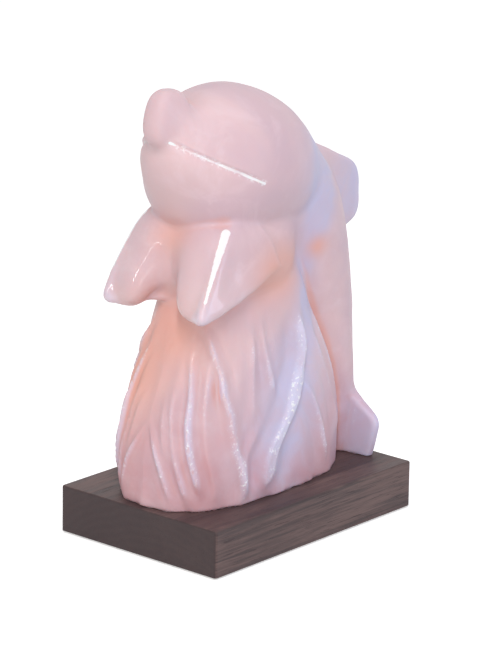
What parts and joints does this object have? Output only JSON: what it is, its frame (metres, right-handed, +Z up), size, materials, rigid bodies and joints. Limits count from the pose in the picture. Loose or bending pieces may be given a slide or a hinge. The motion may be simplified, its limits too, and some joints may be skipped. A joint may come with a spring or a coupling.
{
  "type": "salt crystal lamp",
  "caption": "Table lamp of carved pink rock salt, a stylised dolphin rising from a fluted wave, on a walnut block with a pull-out bulb holder underneath.",
  "frame": {"origin": "on the table under the middle of the base, at the felt's underside", "axes": "+Z up, -Y the way the dolphin looks, X across the base"},
  "size_m": [0.108, 0.1729, 0.2446],
  "materials": {
    "salt": "polished",
    "walnut": "satin",
    "felt": "matte",
    "grey_plastic": "matte",
    "white_plastic": "satin",
    "black_plastic": "satin",
    "brass": "satin",
    "steel": "satin",
    "spring_steel": "satin",
    "nickel": "satin",
    "bulb_glass": "polished",
    "solder": "satin",
    "vitrite": "gloss",
    "tungsten": "satin"
  },
  "bodies": {
    "lamp": {"salt_carving": "salt", "wood_base": "walnut", "felt_sheet": "felt", "salt_plugs": "grey_plastic", "salt_screws": "steel"},
    "holder": {"holder_plate": "black_plastic", "holder_sleeve": "black_plastic", "contact_block": "white_plastic", "screw_shell": "brass", "centre_contact": "brass", "side_terminal": "brass", "terminal_screws": "steel"},
    "clip_right": {"clip_right": "spring_steel"},
    "clip_left": {"clip_left": "spring_steel"},
    "bulb": {"bulb_glass": "bulb_glass", "bulb_cap": "nickel", "bulb_insulator": "vitrite", "bulb_contact": "solder", "bulb_stem": "bulb_glass", "bulb_leads": "nickel", "bulb_filament": "tungsten"}
  },
  "joints": [
    {"name": "holder_pull", "type": "slide", "parent": "lamp", "child": "holder", "axis": [0, 0, -1], "range_m": [0, 0.095]},
    {"name": "bulb_turn", "type": "hinge", "parent": "holder", "child": "bulb", "pos_m": [0, 0, 0.045], "axis": [0, 0, 1], "range_deg": [0, 1080]},
    {"name": "clip_right_flex", "type": "hinge", "parent": "holder", "child": "clip_right", "pos_m": [0.0176, 0, 0.0092], "axis": [0, -1, 0], "range_deg": [0, 9], "stiffness_Nm_per_rad": 0.3, "springref_deg": -14.32},
    {"name": "clip_left_flex", "type": "hinge", "parent": "holder", "child": "clip_left", "pos_m": [-0.0176, 0, 0.0092], "axis": [0, 1, 0], "range_deg": [0, 9], "stiffness_Nm_per_rad": 0.3, "springref_deg": -14.32}
  ]
}
